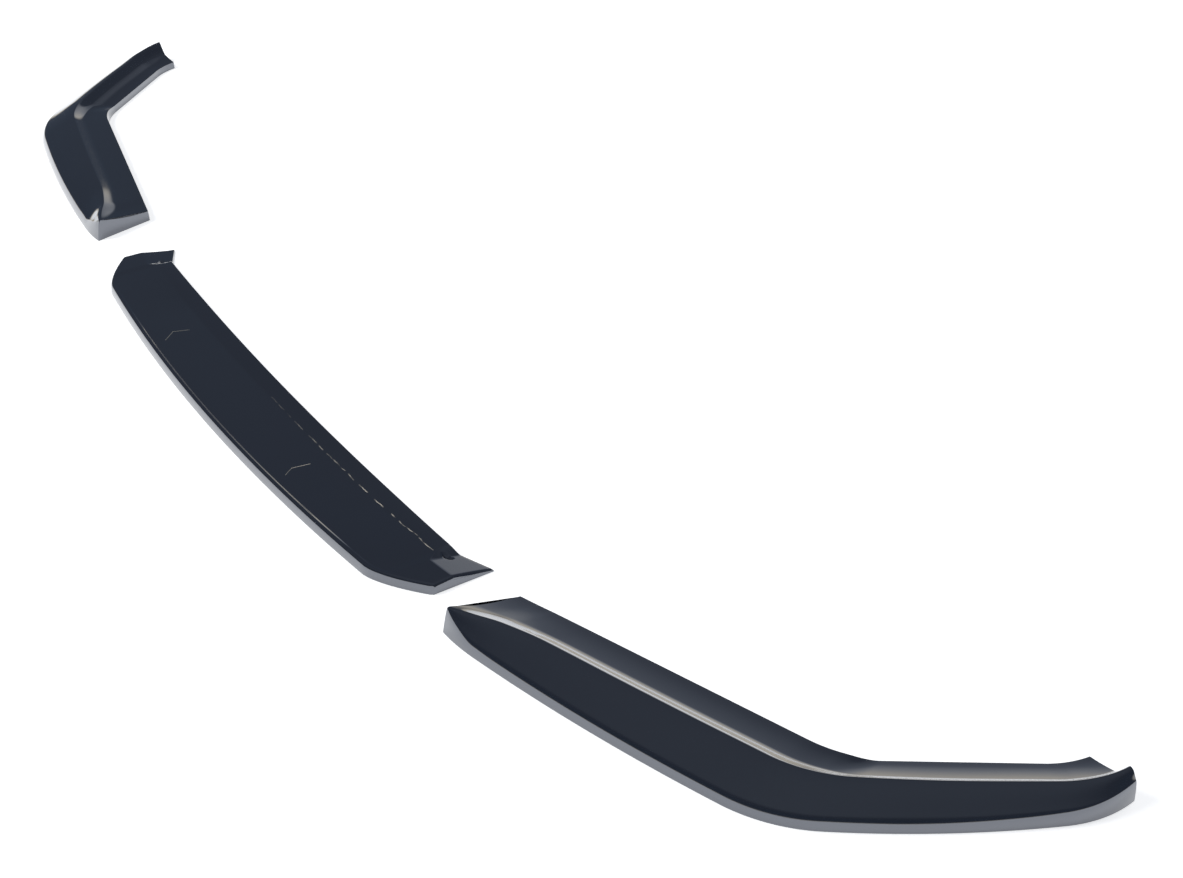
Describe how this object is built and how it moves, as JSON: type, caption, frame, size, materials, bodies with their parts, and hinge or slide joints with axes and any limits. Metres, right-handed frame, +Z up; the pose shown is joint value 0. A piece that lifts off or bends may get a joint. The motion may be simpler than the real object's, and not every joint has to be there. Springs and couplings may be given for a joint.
{
  "type": "front splitter lip",
  "caption": "Gloss black front bumper splitter in separate centre and side lips, with a bowed blade, swept corners and a raised ridge that turns round each flank.",
  "frame": {"origin": "On the floor at the middle of the centre lip's front rim.", "axes": "+X across the car towards its left side, -Y towards the car's nose, +Z up from the floor."},
  "size_m": [1.8703, 0.3889, 0.0287],
  "materials": {
    "gloss_black_abs": "high gloss black, lightly scuffed"
  },
  "bodies": {
    "root": {"centre_lip": "gloss_black_abs", "left_lip": "gloss_black_abs", "right_lip": "gloss_black_abs"}
  },
  "joints": []
}
